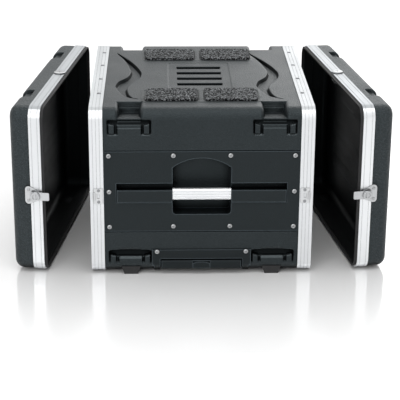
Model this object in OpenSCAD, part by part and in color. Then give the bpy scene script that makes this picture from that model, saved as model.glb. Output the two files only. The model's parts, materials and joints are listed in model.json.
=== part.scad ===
// Rolling equipment rack case, 6 rack units, with two lift-off end lids.
// +X and -X are the two open ends, -Y is the side with the tow handle,
// +Y is the side with the wheels, +Z is up and the floor is at z = 0.
// The lids are drawn standing beside the case, swung open about a vertical
// axis that lies in each mating plane.

/* [Case body] */
// Length of the body between its two mating faces (X)
case_w = 480; // [440:1:560]
// Width of the body across the side handles (Y)
case_d = 547; // [540:1:600]
// Height of the body without feet (Z)
case_h = 376; // [350:1:420]
// Gap between the floor and the body
base_z = 3; // [2:1:8]
// Outer corner radius of the body outline
corner_r = 27; // [22:1:34]
// Thickness of the moulded wall
wall = 4.5; // [3.5:0.5:6]
// How far the aluminium edging stands proud of the moulding
proud = 1.5; // [1:0.5:2.5]
// Width of the aluminium edging on the body
valance_w = 29; // [26:1:34]

/* [Lids] */
// Depth of each lid outside its mating face
lid_t = 68; // [60:1:80]
// Width of the aluminium edging on the lids
lid_valance_w = 25; // [22:1:30]
// Rounding between a lid's rim and its end face
lid_edge_r = 18; // [12:1:22]
// Angle at which the lids stand open
lid_open = 8; // [4:0.5:10]
// Distance of the swing axis behind the tow-handle side
swing_r = 744; // [700:1:800]

/* [Rack] */
// Height of the rack in rack units
rack_u = 6; // [4:1:6]
// Distance between the two columns of rack holes
rack_hole_y = 465.12; // [465:0.01:465.2]
// Diameter of a rack hole
rack_hole_d = 7.1; // [6.5:0.1:7.2]
// Distance from the middle of the case to the front of each rail
rail_face_x = 217; // [210:1:222]

/* [Side handles] */
// Lower edge of the handle panel
panel_z0 = 101; // [98:1:106]
// Upper edge of the handle panel
panel_z1 = 285; // [280:1:290]
// Half width of the hand cup
cup_hw = 63; // [58:1:66]
// Depth of the hand cup
cup_depth = 37; // [32:1:40]
// Half length of the aluminium grip
grip_hw = 63; // [60:1:68]

/* [Tow handle] */
// How far the tow handle pulls out
tow_travel = 340; // [250:5:350]
// Half width of the tow grip
tow_hw = 87; // [80:1:88]
// Distance of each tow tube from the middle
tow_tube_x = 75; // [60:1:78]
// Height of the tow tubes
tow_tube_z = 27; // [26:1:30]

/* [Wheels and feet] */
// Wheel diameter
wheel_d = 50; // [46:1:50]
// Wheel width
wheel_w = 24; // [20:1:26]
// Distance of the wheels and feet from the middle
foot_x = 154; // [150:1:158]
// Distance of the axle from the wheel side of the case
axle_in = 27.5; // [27:0.5:30]

/* [Latches] */
// Height of the latches above the floor
latch_z = 184; // [170:1:200]
// Distance of a latch spindle from the mating face
spindle_a = 13; // [12:1:15]
// Travel of a latch hook towards the lid
hook_pull = 5; // [4:0.5:6]
// Travel of a latch hook towards the case
hook_drop = 3; // [2.5:0.5:3]

/* [Hidden] */
$fn = 64;
e = 0.01;
// Centres the whole outline on the Y axis
y_off = -6.9;
hw = case_w / 2;
hd = case_d / 2;
zc = base_z + case_h / 2;
zt = base_z + case_h;
// Planes of the moulding's outer and inner skin on the tow-handle side
ys = hd - proud;
yi = hd - proud - wall;
panel_t = 2.5;
u_mm = 44.45;
rack_h = rack_u * u_mm;
rack_z0 = zt - 185.5 - rack_h / 2;
screw_x = 199.5;
screw_zs = [112, 193, 274.5];
inner_screw_x = 61.3;
pad_out = 122;
pad_in = 8;
hub_d = 36;
axle_r = 4;
wheel_z = wheel_d / 2;
pivot_y = -hd + swing_r;

// 2-D rounded rectangle about the origin
module rr(w, h, r) {
  square([w - 2 * r, h], center = true);
  square([w, h - 2 * r], center = true);
  for (x = [-1, 1], y = [-1, 1])
    translate([x * (w / 2 - r), y * (h / 2 - r)]) circle(r);
}

// Solid bar with the case's outline, inset by t, from x0 to x1
module outline_bar(x0, x1, t) {
  translate([x0, 0, zc]) rotate([90, 0, 90])
    linear_extrude(x1 - x0) rr(case_d - 2 * t, case_h - 2 * t, corner_r - t);
}

// Ring with the case's outline between insets t0 and t1
module outline_ring(x0, x1, t0, t1) {
  difference() {
    outline_bar(x0, x1, t0);
    outline_bar(x0 - 1, x1 + 1, t1);
  }
}

// Box from two opposite corners
module box(a, b) {
  translate([min(a[0], b[0]), min(a[1], b[1]), min(a[2], b[2])])
    cube([abs(b[0] - a[0]), abs(b[1] - a[1]), abs(b[2] - a[2])]);
}

module mx(both = true) { if (both) children(); mirror([1, 0, 0]) children(); }
module my(both = true) { if (both) children(); mirror([0, 1, 0]) children(); }

// Cylinder along Y from y0 to y1
module rod_y(x, y0, y1, z, d) {
  translate([x, y0, z]) rotate([-90, 0, 0]) cylinder(h = y1 - y0, d = d);
}
// Cylinder along X from x0 to x1
module rod_x(x0, x1, y, z, d) {
  translate([x0, y, z]) rotate([0, 90, 0]) cylinder(h = x1 - x0, d = d);
}

// 2-D outline of the hand cup in X and Z, grown by g
module cup_2d(g = 0) {
  intersection() {
    translate([0, 205]) rr(2 * (cup_hw + g), 128 + 2 * g, 8);
    translate([0, 165]) circle(104 + g, $fn = 128);
  }
}

// Extrudes an X-Z outline towards +Y, from y0 to y1
module slab_y(y0, y1) {
  translate([0, y1, 0]) rotate([90, 0, 0]) linear_extrude(y1 - y0) children();
}

// ---------------------------------------------------------------- body shell
module shell_block_pocket(z0, z1, up) {
  // Pocket with a stepped block in the middle, cut in the side wall
  difference() {
    box([108, -hd - 1, z0], [203, -ys + 3, z1]);
    box([129, -hd, z0 - 1], [181, -ys + 4, z1 - (up ? 9 : 15)]);
    translate([108, -ys + 3.01, (z0 + z1) / 2 - 60]) rotate([0, 0, 12]) box([-12, 0, 0], [0, -2.5, 120]);
  }
}

module case_shell() color([0.16, 0.17, 0.18]) {
  difference() {
    union() {
      outline_ring(-225, 225, proud, proud + wall);
      // Raised field that carries the pads
      box([-128, -226, zt - proud - 1], [128, 222, zt]);
      // Thick spots behind the pockets and notches
      my() mx() {
        box([104, -yi - 1, 318], [207, -yi + 4, 359]);
        box([104, -yi - 1, base_z + 15], [207, -yi + 4, 62]);
        box([126, -yi - 1, 352], [183, -222, zt - 4]);
        box([126, -yi - 1, 363.5], [183, -209.5, zt - 4]);
      }
    }
    my() {
      // Seat and window for the handle panel
      box([-hw + valance_w + 0.01, -hd - 1, panel_z0], [hw - valance_w - 0.01, -ys + panel_t, panel_z1]);
      box([-73, -hd, 132], [73, -yi + 5, 275.5 - 7]);
      box([-190, -hd, 162], [190, -yi + 5, 218]);
      for (s = [-1, 1]) {
        for (z = screw_zs) rod_y(s * screw_x, -hd, -yi + 5, z, 5.2);
        for (z = [113, 275]) rod_y(s * inner_screw_x, -hd, -yi + 5, z, 5.2);
      }
      mx() {
        shell_block_pocket(322, 355, true);
        shell_block_pocket(24, 59, false);
        // Stacking notch in the upper edge, with a ledge at its back
        box([131, -hd - 1, 357], [178, -226.5, zt + 1]);
        box([131, -hd - 1, 368], [178, -214.5, zt + 1]);
      }
    }
    // Bay for the tow handle
    box([-104.5, -hd - 1, 0], [104.5, -237.9, 52.5]);
    for (s = [-1, 1]) rod_y(s * 97, -hd, -yi + 5, 54, 4.2);
    // Wheel wells
    mx() box([foot_x - 23, 216, 0], [foot_x + 23, hd + 1, 56]);
    // Foot screws
    for (s = [-1, 1]) translate([s * foot_x, -244, 0]) cylinder(h = 30, d = 5.2);
    // Edging and keeper rivets
    mx() {
      for (p = top_rivets) translate([p[0], p[1], base_z - 1]) cylinder(h = case_h + 2, d = 3.2);
      my() for (z = [-13, 13]) rod_y(hw - 18, -hd - 1, -yi + 3, latch_z + z, 3.2);
    }
    // Louvres in the middle of the top
    for (y = [-58, -13, 32, 77]) box([-50, y - 6, zt - 1.6], [50, y + 6, zt + 1]);
  }
}

// ---------------------------------------------------------------- edging
module body_valance() color([0.86, 0.87, 0.88]) {
  difference() {
    outline_bar(hw - valance_w, hw, 0);
    outline_bar(hw - valance_w - 1, hw + 1, 9);
    outline_bar(hw - valance_w - 1, hw - 15, 7.5);
    outline_ring(hw - valance_w - 1, hw - 15, proud, proud + wall);
    outline_ring(hw - 8, hw + 1, 2.5, 7);
    // Flutes along the edging
    for (x = [hw - 22, hw - 14.5, hw - 7]) outline_ring(x - 0.6, x + 0.6, -1, 0.5);
    // Rivet seats
    for (p = top_rivets) translate([p[0], p[1], base_z - 1]) cylinder(h = case_h + 2, d = 3.2);
    my() for (z = [-13, 13]) rod_y(hw - 18, -hd - 1, -hd + 10, latch_z + z, 3.2);
  }
}
top_rivets = [for (y = [-155.5, -42, 71.5, 184.5]) [hw - 18, y]];

module seal_ring() color([0.1, 0.1, 0.1])
  outline_ring(hw - 8, hw - 6.6, 2.5, 7);

// ---------------------------------------------------------------- side panels
module handle_panel() color([0.15, 0.16, 0.17]) {
  difference() {
    union() {
      box([-hw + valance_w + 0.3, -ys, panel_z0 + 0.3], [hw - valance_w - 0.3, -ys + panel_t, panel_z1 - 0.3]);
      slab_y(-ys, -ys + cup_depth + 2.5) intersection() {
        cup_2d(2.5);
        translate([-80, 100]) square([160, 168.3]);
      }
      box([-186.5, -ys, 165.5], [186.5, -ys + 15.5, 214.5]);
    }
    slab_y(-hd - 1, -ys + cup_depth) cup_2d(0);
    for (s = [-1, 1]) {
      box([s * 55, -hd - 1, 168], [s * 184, -ys + 13, 212]);
      for (z = screw_zs) rod_y(s * screw_x, -hd, -yi + 5, z, 5.2);
      for (z = [113, 275]) rod_y(s * inner_screw_x, -hd, -yi + 5, z, 5.2);
    }
  }
}

// Grooved bar that spans the hand cup
module grip_bar() color([0.85, 0.86, 0.87])
  translate([-grip_hw, -hd + 5, 187]) rotate([90, 0, 90]) linear_extrude(2 * grip_hw)
    difference() {
      rr(12, 26, 5);
      for (z = [-6, 0, 6]) translate([-6.3, z]) circle(1.1, $fn = 24);
      rr(5, 16, 2);
    }

module grip_end_pair() color([0.12, 0.13, 0.14]) mx() {
  box([grip_hw, -hd - 2, 169], [183, -ys + 13, 197.5]);
  box([grip_hw - 14, -hd + 2.7, 181], [grip_hw + 1, -hd + 7.3, 193]);
}

module screw_y(x, z, head, d, len) {
  difference() {
    union() {
      translate([x, -head, z]) rotate([90, 0, 0]) cylinder(h = 1, d = 10);
      translate([x, -head - 1, z]) rotate([90, 0, 0]) cylinder(h = 1.2, d1 = 10, d2 = 7);
      rod_y(x, -head, -head + len, z, d);
    }
    for (a = [0, 90]) translate([x, -head - 2.2, z]) rotate([0, a, 0]) cube([5, 2.4, 1.1], center = true);
  }
}

module panel_screws() color([0.78, 0.79, 0.8]) {
  my() for (s = [-1, 1]) {
    for (z = screw_zs) screw_y(s * screw_x, z, ys, 5, 15);
    for (z = [113, 275]) screw_y(s * inner_screw_x, z, ys, 5, 13);
  }
  for (s = [-1, 1]) screw_y(s * 97, 54, hd + 0.5, 4, 14);
}

module nut_y(x, y, z) difference() {
  translate([x, y, z]) rotate([-90, 0, 0]) cylinder(h = 4, d = 9.2, $fn = 6);
  rod_y(x, y - 1, y + 5, z, 5.0);
}
module panel_nuts() color([0.7, 0.71, 0.72]) my() for (s = [-1, 1]) {
  for (z = screw_zs) nut_y(s * screw_x, rail_leg_y + 2, z);
  for (z = [113, 275]) nut_y(s * inner_screw_x, -yi, z);
}

// ---------------------------------------------------------------- rack rails
hole_offs = [6.35, 22.225, 38.1];
rail_leg_y = -yi + 3.1;
module rail_pair() color([0.3, 0.31, 0.32]) my() difference() {
  union() {
    box([rail_face_x - 2, rail_leg_y, rack_z0], [rail_face_x, -225.5, rack_z0 + rack_h]);
    box([207.5, rail_leg_y, rack_z0], [rail_face_x, rail_leg_y + 2, rack_z0 + rack_h]);
    box([187.5, rail_leg_y, 63], [rail_face_x, rail_leg_y + 2, 317]);
    box([rail_face_x - 10, -227.5, rack_z0], [rail_face_x, -225.5, rack_z0 + rack_h]);
    // Spacers that carry each rail off the moulding
    for (z = screw_zs) rod_y(screw_x, -yi, rail_leg_y + 1, z, 13);
  }
  for (u = [0:rack_u - 1], o = hole_offs)
    rod_x(rail_face_x - 5, rail_face_x + 1, -rack_hole_y / 2, rack_z0 + u * u_mm + o, rack_hole_d);
  for (z = screw_zs) rod_y(screw_x, -yi - 1, rail_leg_y + 3, z, 5.2);
}

// ---------------------------------------------------------------- latches
// Places latch geometry drawn as (a, b, z): a from the mating face towards the
// lid, b out of the side face, z from the latch's centre line
module latch_frame(near) {
  if (near) translate([hw, -hd, latch_z]) mirror([0, 1, 0]) children();
  else translate([hw, hd, latch_z]) children();
}

module keeper() difference() {
  union() {
    box([-27, 0, -17], [-7.8, 1.2, 17]);
    box([-10, 0, -9], [-7.8, 3.8, 9]);
  }
  for (z = [-13, 13]) rod_y(-18, -1, 3, z, 3.2);
  box([-14.5, -1, -5], [-20, 3, 5]);
}
module latch_keepers() color([0.75, 0.76, 0.77]) mx() for (n = [true, false]) latch_frame(n) keeper();

module rivet_z(x, y, z, up) translate([x, y, z]) mirror([0, 0, up ? 0 : 1]) {
  cylinder(h = 0.9, d = 8);
  translate([0, 0, 0.9]) cylinder(h = 0.7, d1 = 8, d2 = 5);
  translate([0, 0, -8]) cylinder(h = 8, d = 3.2);
}
module rivet_b(a, b, z, d, len) {
  rod_y(a, b, b + 0.8, z, d);
  translate([a, b + 0.8, z]) rotate([-90, 0, 0]) cylinder(h = 0.6, d1 = d, d2 = d * 0.6);
  rod_y(a, b - len, b, z, 3.2);
}
module case_rivets() color([0.8, 0.81, 0.82]) mx() {
  for (p = top_rivets) { rivet_z(p[0], p[1], zt, true); rivet_z(p[0], p[1], base_z, false); }
  for (n = [true, false]) latch_frame(n) for (z = [-13, 13]) rivet_b(-18, 1.2, z, 6.4, 8);
}

// Broad three-lobed plate with a raised collar round the spindle
module latch_plate() difference() {
  union() {
    slab_y(0, 1.5) {
      translate([2, -11]) square([14, 22]);
      hull() {
        translate([15.5, 0]) circle(13.4);
        for (z = [-1, 1]) translate([29, z * 12.3]) circle(7.8);
      }
    }
    rod_y(spindle_a, 1.4, 3.8, 0, 20);
  }
  rod_y(spindle_a, -1, 5, 0, 8.1);
  for (z = [-12, 12]) rod_y(29, -1, 3, z, 3.2);
}
module latch_plates() color([0.72, 0.73, 0.74]) for (n = [true, false]) latch_frame(n) latch_plate();

// Draw hook, shown released
module hook() color([0.8, 0.81, 0.82]) difference() {
  union() {
    slab_y(7.2, 9.2) translate([3.35, 0]) rr(41.3, 18, 3);
    box([-17.3, 5.2, -6], [-15.3, 9.2, 6]);
  }
  slab_y(6, 10) {
    translate([8.2, -4.4]) square([4.6, 8.8]);
    for (a = [8, 13]) translate([a, 0]) circle(4.4);
  }
}
// Wing folded flat on its disc: a ring tab with a bar across it
module wing() color([0.66, 0.67, 0.68]) {
  rod_y(spindle_a, 0.2, 10.2, 0, 8);
  rod_y(spindle_a, 9.8, 11.4, 0, 20.5);
  slab_y(11.3, 12.7) translate([spindle_a, 0]) {
    difference() {
      circle(9);
      circle(6.3);
    }
    translate([-1.7, -7]) square([3.4, 14]);
  }
}

// ---------------------------------------------------------------- lids
// Block with the case's outline whose end edge is rounded, from x0 to x1
module outline_dome(x0, x1, t, er) {
  r = corner_r - t;
  outline_bar(x0, x1 - er, t);
  outline_bar(x1 - er - e, x1, t + er);
  for (y = [-1, 1], z = [-1, 1]) translate([x1 - er, y * (hd - t - r), zc + z * (case_h / 2 - t - r)])
    rotate([0, 90, 0]) rotate_extrude($fn = 64) {
      translate([r - er, 0]) intersection() {
        circle(er);
        translate([-min(er, r - er), -er]) square([2 * er, 2 * er]);
      }
    }
  for (z = [-1, 1]) translate([x1 - er, -(hd - t - r), zc + z * (case_h / 2 - t - er)])
    rotate([-90, 0, 0]) cylinder(h = 2 * (hd - t - r), r = er);
  for (y = [-1, 1]) translate([x1 - er, y * (hd - t - er), zc - (case_h / 2 - t - r)])
    cylinder(h = 2 * (case_h / 2 - t - r), r = er);
}

lid_foot_ys = [-160, 160];
module lid_shell() color([0.16, 0.17, 0.18]) {
  x1 = hw + lid_t;
  difference() {
    outline_dome(hw + 11, x1, proud, lid_edge_r);
    difference() {
      outline_dome(hw + 10, x1 - wall, proud + wall, lid_edge_r - wall);
      // Thick spots behind the notches and feet
      for (y = lid_foot_ys) {
        box([hw + 34, y - 30, zt - 14], [x1, y + 30, zt]);
        box([x1 - 14, y - 30, zt - 30], [x1, y + 30, zt]);
      }
    }
    for (y = lid_foot_ys) {
      box([hw + 40, y - 25, zt - 8], [x1 + 1, y + 25, zt + 1]);
      box([x1 - 8, y - 25, zt - 24], [x1 + 1, y + 25, zt + 1]);
      translate([hw + 45, y, 0]) cylinder(h = 30, d = 3.2);
    }
    // Lock hole and latch rivet holes
    translate([hw + 12.5, 0, zt - 20]) cylinder(h = 30, d = 14.2);
    my() for (z = [-12, 12]) rod_y(hw + 29, -hd - 1, -hd + 12, latch_z + z, 3.2);
    my() rod_y(hw + spindle_a, -hd - 1, -hd + 0.9, latch_z, 8.1);
  }
}

module lid_valance() color([0.86, 0.87, 0.88]) difference() {
  outline_bar(hw, hw + lid_valance_w, 0);
  outline_bar(hw - 1, hw + lid_valance_w + 1, 9);
  outline_bar(hw + 22, hw + lid_valance_w + 1, 6);
  outline_ring(hw + 11, hw + lid_valance_w + 1, proud, proud + wall);
  outline_ring(hw - 1, hw + 6, 2.95, 6.55);
  for (x = [hw + 6, hw + 19]) outline_ring(x - 0.6, x + 0.6, -1, 0.5);
  translate([hw + 12.5, 0, zt - 20]) cylinder(h = 30, d = 14.2);
  my() rod_y(hw + spindle_a, -hd - 1, -hd + 1.2, latch_z, 8.1);
}

module lid_lip() color([0.08, 0.08, 0.09]) difference() {
  outline_ring(hw - 6, hw + 6, 2.95, 6.55);
  translate([hw + 12.5, 0, zt - 20]) cylinder(h = 30, d = 14.2);
}

module lid_feet() color([0.1, 0.1, 0.11]) for (y = lid_foot_ys) difference() {
  translate([hw + 38, y, 0]) rotate([90, 0, 90]) linear_extrude(lid_t - 45)
    polygon([[-15, 0], [15, 0], [21, 16], [-21, 16]]);
  outline_dome(hw + 5, hw + lid_t, proud, lid_edge_r);
  translate([hw + 45, y, -1]) cylinder(h = 3.5, d = 9);
  translate([hw + 45, y, 0]) cylinder(h = 30, d = 3.2);
}

module lid_rivets() color([0.8, 0.81, 0.82]) {
  for (n = [true, false]) latch_frame(n) for (z = [-12, 12]) rivet_b(29, 1.5, z, 6.4, 7);
  for (y = lid_foot_ys) translate([hw + 45, y, 0]) {
    translate([0, 0, 1.1]) cylinder(h = 1.4, d = 8);
    translate([0, 0, 2.4]) cylinder(h = base_z + proud + wall - 2.3, d = 3.2);
    translate([0, 0, base_z + proud + wall]) cylinder(h = 1.6, d = 8);
  }
}

lock_x = hw + 12.5;
module lock_body() color([0.2, 0.2, 0.21]) translate([lock_x, 0, 0]) difference() {
  union() {
    translate([0, 0, zt]) cylinder(h = 2.6, d = 26);
    translate([0, 0, zt + 2.6]) cylinder(h = 1, d1 = 26, d2 = 22);
    translate([0, 0, zt - 21]) cylinder(h = 22, d = 14);
  }
  translate([0, 0, zt - 22]) cylinder(h = 30, d = 10.1);
}
module lock_nut() color([0.75, 0.76, 0.77]) translate([lock_x, 0, zt - 14]) difference() {
  cylinder(h = 5, d = 21, $fn = 6);
  translate([0, 0, -1]) cylinder(h = 7, d = 14);
}
module lock_plug() color([0.78, 0.79, 0.8]) translate([lock_x, 0, 0]) {
  difference() {
    translate([0, 0, zt - 25]) cylinder(h = 28.4, d = 10);
    translate([0, 0, zt + 2.5]) cube([1.4, 6, 4], center = true);
  }
  difference() {
    union() {
      translate([0, 0, zt - 25]) cylinder(h = 3, d = 14);
      box([-5, 0, zt - 25], [5, 27, zt - 22]);
      box([-5, 24, zt - 25], [5, 27, zt - 13]);
    }
    translate([0, 0, zt - 26]) cylinder(h = 2, d = 5);
  }
}
module lock_catches() color([0.75, 0.76, 0.77]) mx()
  box([hw - 10.5, -5, zt - 20], [hw - 8, 5, zt - 9]);

// ---------------------------------------------------------------- top pads
module pad() linear_extrude(4.5) difference() {
  translate([(pad_out + pad_in) / 2, 0]) rr(pad_out - pad_in, 84, 9);
}
module top_pads() color([0.2, 0.2, 0.21]) mx() {
  translate([0, -170.5, zt]) pad();
  translate([0, 160.5, zt]) pad();
}

// ---------------------------------------------------------------- tow handle
module tow_frame() color([0.13, 0.14, 0.15]) difference() {
  intersection() {
    union() {
      box([-108, -hd - 0.5, base_z + 2], [108, -ys, 58.5]);
      box([-104, -ys - 1, base_z + 2], [104, -238, 52]);
    }
    outline_bar(-150, 150, -0.5);
  }
  difference() {
    box([-90, -hd - 2, 0], [90, -241.5, 37]);
  }
  for (s = [-1, 1]) {
    rod_y(s * tow_tube_x, -250, -230, tow_tube_z, 18);
    rod_y(s * 97, -hd - 1, -250, 54, 4.2);
  }
}
module tow_outer_tubes() color([0.72, 0.73, 0.74]) for (s = [-1, 1]) difference() {
  rod_y(s * tow_tube_x, -241.5, 165, tow_tube_z, 18);
  rod_y(s * tow_tube_x, -242, 166, tow_tube_z, 15.1);
}
module tow_rear_block() color([0.13, 0.14, 0.15]) difference() {
  box([-92, 145, base_z + proud + wall], [92, 170, 39]);
  for (s = [-1, 1]) rod_y(s * tow_tube_x, 144, 165, tow_tube_z, 18);
  box([-58, 140, base_z], [58, 175, 30]);
}
module tow_grip() color([0.12, 0.13, 0.14]) difference() {
  union() {
    translate([-tow_hw, -266.3, 23]) rotate([90, 0, 90]) linear_extrude(2 * tow_hw) rr(15.4, 22, 5);
    for (s = [-1, 1]) box([s * (tow_tube_x - 10), -262, 14.5], [s * (tow_tube_x + 10), -250, 35.5]);
  }
  box([-19.3, -280, 14.2], [19.3, -264, 30.8]);
  for (s = [-1, 1]) rod_y(s * tow_tube_x, -262, -249, tow_tube_z, 15);
}
module tow_inner_tubes() color([0.8, 0.81, 0.82]) for (s = [-1, 1]) difference() {
  rod_y(s * tow_tube_x, -262, 150, tow_tube_z, 15);
  rod_y(s * tow_tube_x, -263, 151, tow_tube_z, 12.2);
}
module tow_button() color([0.2, 0.21, 0.22]) {
  slab_y(-275.6, -268) intersection() {
    translate([0, 22.3]) rr(38, 15.6, 3);
    translate([0, -18]) circle(48.5, $fn = 96);
  }
}

// ---------------------------------------------------------------- feet, wheels
module feet() color([0.1, 0.1, 0.11]) for (s = [-1, 1]) difference() {
  translate([s * foot_x, -231, 0]) rotate([90, 0, 0]) linear_extrude(39.5)
    polygon([[-15, 0], [15, 0], [21, 18], [-21, 18]]);
  outline_bar(-220, 220, proud);
  translate([s * foot_x, -244, -1]) cylinder(h = 4, d = 9.5);
  translate([s * foot_x, -244, 0]) cylinder(h = 30, d = 5.2);
}
module foot_screws() color([0.7, 0.71, 0.72]) for (s = [-1, 1]) translate([s * foot_x, -244, 0]) {
  difference() {
    translate([0, 0, 1.2]) cylinder(h = 1.8, d = 8.5);
    translate([0, 0, 1.2]) cube([5, 1.2, 1.6], center = true);
  }
  translate([0, 0, 2.9]) cylinder(h = 14, d = 5);
  translate([0, 0, base_z + proud + wall]) cylinder(h = 3, d = 9.2, $fn = 6);
}
module wheel_housings() color([0.14, 0.15, 0.16]) mx() difference() {
  intersection() {
    box([foot_x - 22.9, 216.1, base_z + 1], [foot_x + 22.9, hd + 1, 55.9]);
    outline_bar(-220, 220, 0.4);
  }
  box([foot_x - 20, 218.6, -1], [foot_x + 20, hd + 2, 53.4]);
  rod_x(foot_x - 30, foot_x + 30, hd - axle_in, wheel_z, 2 * axle_r);
}
module axles() color([0.75, 0.76, 0.77]) mx()
  rod_x(foot_x - 22.8, foot_x + 22.8, hd - axle_in, wheel_z, 2 * axle_r);
module wheel_core() color([0.25, 0.26, 0.27])
  translate([foot_x, hd - axle_in, wheel_z]) rotate([0, 90, 0]) difference() {
    union() {
      translate([0, 0, -wheel_w / 2 + 1]) cylinder(h = wheel_w - 2, d = hub_d);
      translate([0, 0, -18.6]) cylinder(h = 37.2, d = 15);
    }
    translate([0, 0, -30]) cylinder(h = 60, r = axle_r + 0.06);
    for (s = [-1, 1]) translate([0, 0, s * (wheel_w / 2 - 1)]) difference() {
      cylinder(h = 8, d = hub_d - 6, center = true);
      cylinder(h = 9, d = 17, center = true);
      for (a = [0:60:120]) rotate([0, 0, a]) cube([40, 2.5, 9], center = true);
    }
  }
module tyre() color([0.07, 0.07, 0.07])
  translate([foot_x, hd - axle_in, wheel_z]) rotate([0, 90, 0]) rotate_extrude($fn = 96)
    difference() {
      intersection() {
        translate([hub_d / 2, -wheel_w / 2]) square([wheel_d / 2 - hub_d / 2, wheel_w]);
        translate([wheel_d / 2 - 30, 0]) circle(30, $fn = 96);
      }
      for (y = [-4, 4]) translate([wheel_d / 2, y]) square([1.6, 1.2], center = true);
    }

// ---------------------------------------------------------------- placing
module placed() translate([0, y_off, 0]) children();
// Swings a lid piece from its closed place to where it stands
module right_side() placed() translate([hw, pivot_y, 0]) rotate([0, 0, lid_open]) translate([-hw, -pivot_y, 0]) children();
module left_side() mirror([1, 0, 0]) right_side() children();

placed() case_shell();
placed() mirror([1, 0, 0]) body_valance();  // left_valance
placed() body_valance();  // right_valance
placed() mirror([1, 0, 0]) seal_ring();  // left_seal
placed() seal_ring();  // right_seal
placed() handle_panel();  // near_panel
placed() mirror([0, 1, 0]) handle_panel();  // far_panel
placed() grip_bar();  // near_grip
placed() mirror([0, 1, 0]) grip_bar();  // far_grip
placed() my() grip_end_pair();  // grip_ends
placed() panel_screws();
placed() panel_nuts();
placed() mirror([1, 0, 0]) rail_pair();  // left_rails
placed() rail_pair();  // right_rails
placed() latch_keepers();
placed() lock_catches();
placed() case_rivets();
placed() top_pads();
placed() tow_frame();
placed() tow_outer_tubes();
placed() tow_rear_block();
placed() tow_grip();
placed() tow_inner_tubes();
placed() tow_button();
placed() feet();
placed() foot_screws();
placed() wheel_housings();
placed() axles();
placed() mirror([1, 0, 0]) wheel_core();  // left_wheel
placed() mirror([1, 0, 0]) tyre();  // left_tyre
placed() wheel_core();  // right_wheel
placed() tyre();  // right_tyre
left_side() lid_shell();  // left_lid_shell
left_side() lid_valance();  // left_lid_valance
left_side() lid_lip();  // left_lid_lip
left_side() lid_feet();  // left_lid_feet
left_side() lid_rivets();  // left_lid_rivets
left_side() latch_plates();  // left_latch_plates
left_side() lock_body();  // left_lock_body
left_side() lock_nut();  // left_lock_nut
left_side() lock_plug();  // left_lock_plug
left_side() latch_frame(true) wing();  // left_near_wing
left_side() latch_frame(false) wing();  // left_far_wing
left_side() latch_frame(true) hook();  // left_near_hook
left_side() latch_frame(false) hook();  // left_far_hook
right_side() lid_shell();  // right_lid_shell
right_side() lid_valance();  // right_lid_valance
right_side() lid_lip();  // right_lid_lip
right_side() lid_feet();  // right_lid_feet
right_side() lid_rivets();  // right_lid_rivets
right_side() latch_plates();  // right_latch_plates
right_side() lock_body();  // right_lock_body
right_side() lock_nut();  // right_lock_nut
right_side() lock_plug();  // right_lock_plug
right_side() latch_frame(true) wing();  // right_near_wing
right_side() latch_frame(false) wing();  // right_far_wing
right_side() latch_frame(true) hook();  // right_near_hook
right_side() latch_frame(false) hook();  // right_far_hook
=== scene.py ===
"""Looks for the rolling equipment rack case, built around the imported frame."""
import json
import math

import bmesh
import bpy
import numpy as np
from mathutils import Matrix, Vector


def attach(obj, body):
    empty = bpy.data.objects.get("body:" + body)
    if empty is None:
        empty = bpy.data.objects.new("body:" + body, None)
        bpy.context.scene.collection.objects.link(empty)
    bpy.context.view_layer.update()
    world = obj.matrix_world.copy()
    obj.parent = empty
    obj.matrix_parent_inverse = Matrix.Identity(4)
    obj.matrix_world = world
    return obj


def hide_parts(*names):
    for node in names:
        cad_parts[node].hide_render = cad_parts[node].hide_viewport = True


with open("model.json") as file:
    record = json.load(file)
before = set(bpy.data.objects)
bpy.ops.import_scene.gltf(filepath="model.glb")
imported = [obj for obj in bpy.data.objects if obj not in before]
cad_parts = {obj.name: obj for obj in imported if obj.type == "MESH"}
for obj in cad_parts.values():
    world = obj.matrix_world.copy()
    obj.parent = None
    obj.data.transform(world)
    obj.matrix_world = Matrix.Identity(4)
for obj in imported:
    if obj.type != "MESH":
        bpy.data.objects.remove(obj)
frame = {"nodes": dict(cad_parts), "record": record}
NODES, RECORD = frame["nodes"], frame["record"]
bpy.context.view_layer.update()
scene = bpy.context.scene

# ------------------------------------------------------------------ sizes, mm
YO = -6.9
HW, HD, H, BASE = 240.0, 273.5, 376.0, 3.0
ZC, ZT = BASE + H / 2, BASE + H
PROUD, WALL, CORNER = 1.5, 4.5, 27.0
LID_T, LID_ER = 68.0, 18.0
PIVOT_Y = -HD + 744.0
OPEN = math.radians(8.0)
SCREW_ZS = (112, 193, 274.5)


# ------------------------------------------------------------------ placing
def to_row(P, side=0):
    """Points in mm in the closed, body-centred frame to metres in the row frame. side 1 or -1 puts them on that lid."""
    P = np.array(P, float).reshape(-1, 3)
    if side:
        x, y = P[:, 0] - HW, P[:, 1] - PIVOT_Y
        c, s = math.cos(OPEN), math.sin(OPEN)
        P = np.stack([side * (HW + x * c - y * s), PIVOT_Y + x * s + y * c, P[:, 2]], 1)
    P = P + np.array([0, YO, 0])
    return P / 1000.0


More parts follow.
